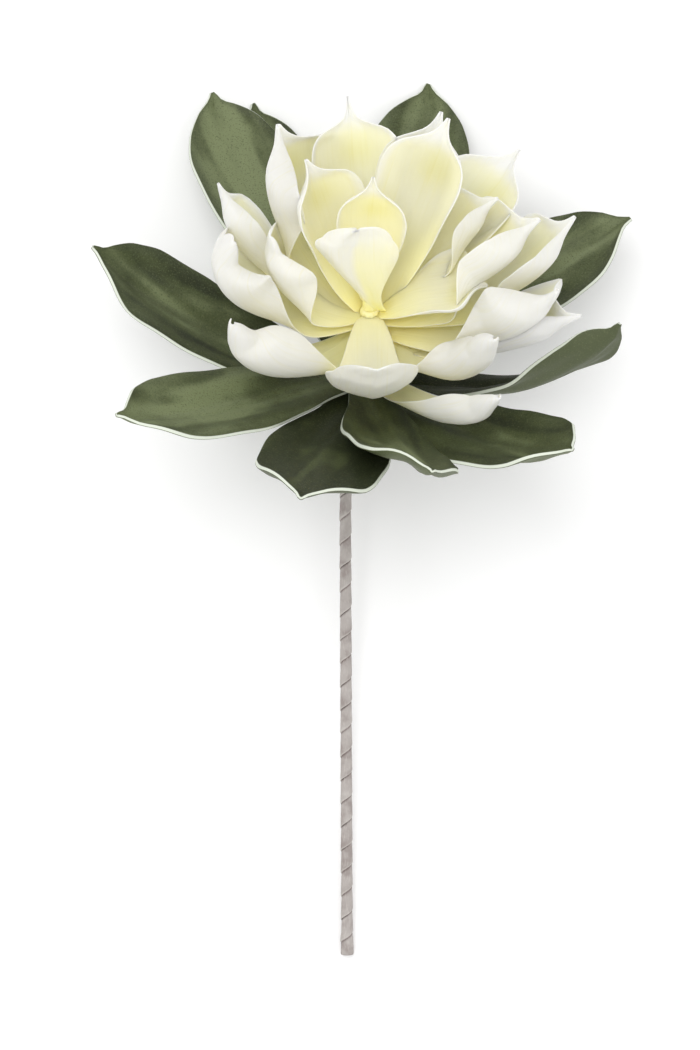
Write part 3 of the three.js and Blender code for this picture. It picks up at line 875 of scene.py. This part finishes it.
def core_foam_green(name):
    """Dark green foam, gathered at the roots of the leaves."""
    mat, tree, shader = new_material(name)
    place = object_place(tree)
    cloud = noise(tree, place, scale=160, detail=4)
    dress(tree, shader, {"Base Color": ramp(tree, cloud, CORE_COLOURS), "Roughness": 0.75})
    bump(tree, shader, noise(tree, place, scale=1400, detail=2), strength=0.3, distance=0.0003)
    return mat


FLOOR_COLOURS = [(0.3, (0.955, 0.955, 0.955)), (0.7, (0.97, 0.97, 0.97))]


def floor_paper(name):
    """White paper with a hardly seen unevenness."""
    mat, tree, shader = new_material(name)
    cloud = noise(tree, object_place(tree), scale=3, detail=2)
    dress(tree, shader, {"Base Color": ramp(tree, cloud, FLOOR_COLOURS), "Roughness": 0.8})
    return mat


# ---------------------------------------------------------------- the flower

petals = petal_foam("petal_foam")
leaves = leaf_foam("leaf_foam")
green_core = core_foam_green("core_foam_green")


def settle(obj, material, node):
    """Gives a piece its material, attaches it to the root body, and hides the source's node that it
    stands for.
    """
    obj.data.materials.append(material)
    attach(obj, "root")
    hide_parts(node)


# For each layer: start of its blades' names, rows, shape, root, material, slot and node
LAYERS = [
    ("leaf_lower", LOWER_LEAVES, LEAF_SHAPE, LEAF_ROOT, leaves, "leaf_foam", "leaf_star_lower"),
    ("leaf_upper", UPPER_LEAVES, LEAF_SHAPE, LEAF_ROOT, leaves, "leaf_foam", "leaf_star_upper"),
    ("petal_lower", LOWER_PETALS, PETAL_SHAPE, PETAL_ROOT, petals, "petal_foam", "petals_lower"),
    ("petal_upper", UPPER_PETALS, PETAL_SHAPE, PETAL_ROOT, petals, "petal_foam", "petals_upper"),
    ("petal_bud", BUD, BUD_SHAPE, BUD_ROOT, petals, "petal_foam", "petals_bud"),
]
for layer, (prefix, rows, shape, root, material, slot, node) in enumerate(LAYERS):
    for i, row in enumerate(rows):
        name, seed = f"{prefix}_{i + 1:02d}", 100 * layer + i
        settle(blade_mesh(name, row, shape, root, seed, material is leaves), material, node)

# For each core: name, hub, number of folds, how slim it is, material, slot and node
CORES = [
    ("hub_leaf_lower", LOWER_LEAF_HUB, 5, 0, green_core, "leaf_foam", "leaf_star_lower"),
    ("hub_leaf_upper", UPPER_LEAF_HUB, 5, 0, green_core, "leaf_foam", "leaf_star_upper"),
    ("core_petals_lower", LOWER_PETAL_HUB, 9, 0, petals, "petal_foam", "petals_lower"),
    ("core_petals_upper", UPPER_PETAL_HUB, 8, 2.5, petals, "petal_foam", "petals_upper"),
    ("core_bud", BUD_HUB, 6, 2.2, petals, "petal_foam", "petals_bud"),
]
for name, hub, folds, slim, material, slot, node in CORES:
    settle(gathered_core(name, hub, folds, slim), material, node)

settle(tape_wrap("tape_wrap"), tape_crepe("tape_crepe"), "stem_tape")

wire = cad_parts["stem_wire"]
wire.data.materials.clear()
wire.data.materials.append(wire_steel("wire_steel"))


# ---------------------------------------------------------------- floor, light, camera

FLOOR_REACH = 3
LIGHT_TARGET = Vector((0, 0.05, 0.08))
WORLD_STRENGTH = 0.9
CAMERA_PLACE = (-0.0080, -0.0030, 1.675)
CAMERA_LENS = 100
CAMERA_SENSOR_HEIGHT = 36

floor_mesh = bpy.data.meshes.new("floor")
corners = [(x * FLOOR_REACH, y * FLOOR_REACH, 0) for x, y in ((-1, -1), (1, -1), (1, 1), (-1, 1))]
floor_mesh.from_pydata(corners, [], [(0, 1, 2, 3)])
floor = bpy.data.objects.new("floor", floor_mesh)
bpy.context.scene.collection.objects.link(floor)
floor_mesh.materials.append(floor_paper("floor_paper"))


def soft_light(name, place, size, power):
    """Round area light above the flower, facing it."""
    light = bpy.data.lights.new(name, "AREA")
    light.shape = "DISK"
    light.size = size
    light.energy = power
    obj = bpy.data.objects.new(name, light)
    obj.location = place
    obj.rotation_euler = (LIGHT_TARGET - Vector(place)).to_track_quat("-Z", "Y").to_euler()
    bpy.context.scene.collection.objects.link(obj)


soft_light("key_light", place=(-0.35, 0.5, 2.2), size=1.2, power=16)
soft_light("fill_light", place=(0.5, -0.4, 2.0), size=1.6, power=5)

world = bpy.data.worlds.new("studio")
bpy.context.scene.world = world
world.use_nodes = True
world.node_tree.nodes["Background"].inputs["Color"].default_value = (1, 1, 1, 1)
world.node_tree.nodes["Background"].inputs["Strength"].default_value = WORLD_STRENGTH
bpy.context.scene.view_settings.view_transform = "Standard"
bpy.context.scene.cycles.diffuse_bounces = 12

# The camera looks straight down, as a new one does
camera_data = bpy.data.cameras.new("camera")
camera_data.sensor_fit = "VERTICAL"
camera_data.sensor_height = CAMERA_SENSOR_HEIGHT
camera_data.lens = CAMERA_LENS
camera = bpy.data.objects.new("camera", camera_data)
camera.location = CAMERA_PLACE
bpy.context.scene.collection.objects.link(camera)
bpy.context.scene.camera = camera
